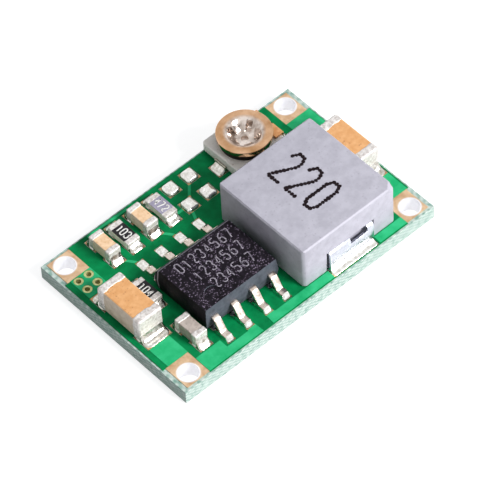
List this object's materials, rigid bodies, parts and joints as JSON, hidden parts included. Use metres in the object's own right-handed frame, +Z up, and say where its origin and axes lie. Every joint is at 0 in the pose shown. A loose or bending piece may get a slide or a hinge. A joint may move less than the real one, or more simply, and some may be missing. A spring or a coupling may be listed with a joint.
{
  "type": "buck converter module",
  "caption": "Rectangular circuit board with plated corner holes, carrying a regulator chip, a moulded inductor, ceramic chip parts and a dished trimmer whose rotor turns.",
  "frame": {"origin": "centre of the underside of the board", "axes": "+X along the board's long side, from the input end to the output end; +Y across it, from the edge under the chip and the inductor towards the row of small parts and the trimmer; +Z up, out of the face that carries the parts"},
  "size_m": [0.017, 0.011, 0.0038],
  "materials": {
    "laminate": "satin woven glass laminate, cut edges",
    "copper": "etched foil, seen only through the mask",
    "solder_mask": "glossy green lacquer, brighter over copper",
    "via_metal": "plated, bright",
    "terminal_plating": "satin warm metal",
    "chip_moulding": "matt black moulding",
    "pin_plating": "bright tin plate",
    "inductor_compound": "matt pale grey pressed powder",
    "strap_plating": "bright tin plate",
    "orange_ceramic": "satin fired ceramic, orange",
    "beige_ceramic": "satin fired ceramic, beige",
    "white_ceramic": "satin white alumina",
    "black_coat": "glossy black lacquer with pale figures",
    "lilac_coat": "glossy grey-lilac lacquer with pale figures",
    "end_metal": "bright tin plate",
    "trimmer_ceramic": "satin pale ceramic",
    "carbon_track": "matt black resistive ink",
    "wiper_tag_metal": "tinned sheet metal",
    "end_tag_metal": "copper-coloured sheet metal",
    "rotor_metal": "polished pressed sheet metal, warm rim",
    "solder": "bright smooth solder"
  },
  "bodies": {
    "board": {"terminal_in_positive": "terminal_plating", "terminal_in_negative": "terminal_plating", "terminal_out_positive": "terminal_plating", "terminal_out_negative": "terminal_plating", "woven_laminate": "laminate", "copper_top": "copper", "copper_bottom": "copper", "mask_top": "solder_mask", "mask_bottom": "solder_mask", "via_barrels": "via_metal", "chip_package": "chip_moulding", "chip_pins": "pin_plating", "inductor_body": "inductor_compound", "inductor_strap_front": "strap_plating", "inductor_strap_back": "strap_plating", "input_capacitor": "orange_ceramic", "input_capacitor_ends": "end_metal", "output_capacitor": "orange_ceramic", "output_capacitor_ends": "end_metal", "timing_capacitor": "orange_ceramic", "timing_capacitor_ends": "end_metal", "filter_capacitor": "orange_ceramic", "filter_capacitor_ends": "end_metal", "boost_capacitor": "beige_ceramic", "boost_capacitor_ends": "end_metal", "enable_resistor": "white_ceramic", "enable_resistor_coat": "black_coat", "enable_resistor_ends": "end_metal", "divider_resistor": "white_ceramic", "divider_resistor_coat": "black_coat", "divider_resistor_ends": "end_metal", "limit_resistor": "white_ceramic", "limit_resistor_coat": "lilac_coat", "limit_resistor_ends": "end_metal", "trimmer_base": "trimmer_ceramic", "trimmer_track": "carbon_track", "trimmer_wiper_tag": "wiper_tag_metal", "trimmer_end_tags": "end_tag_metal", "solder_chip": "solder", "solder_inductor": "solder", "solder_large": "solder", "solder_small": "solder", "solder_trimmer": "solder", "solder_spare_pads": "solder"},
    "adjuster": {"trimmer_rotor": "rotor_metal"}
  },
  "joints": [
    {"name": "trimmer_adjust", "type": "hinge", "parent": "board", "child": "adjuster", "pos_m": [0.0041, 0.00395, 0.0015], "axis": [0, 0, 1], "range_deg": [-115, 115]}
  ]
}
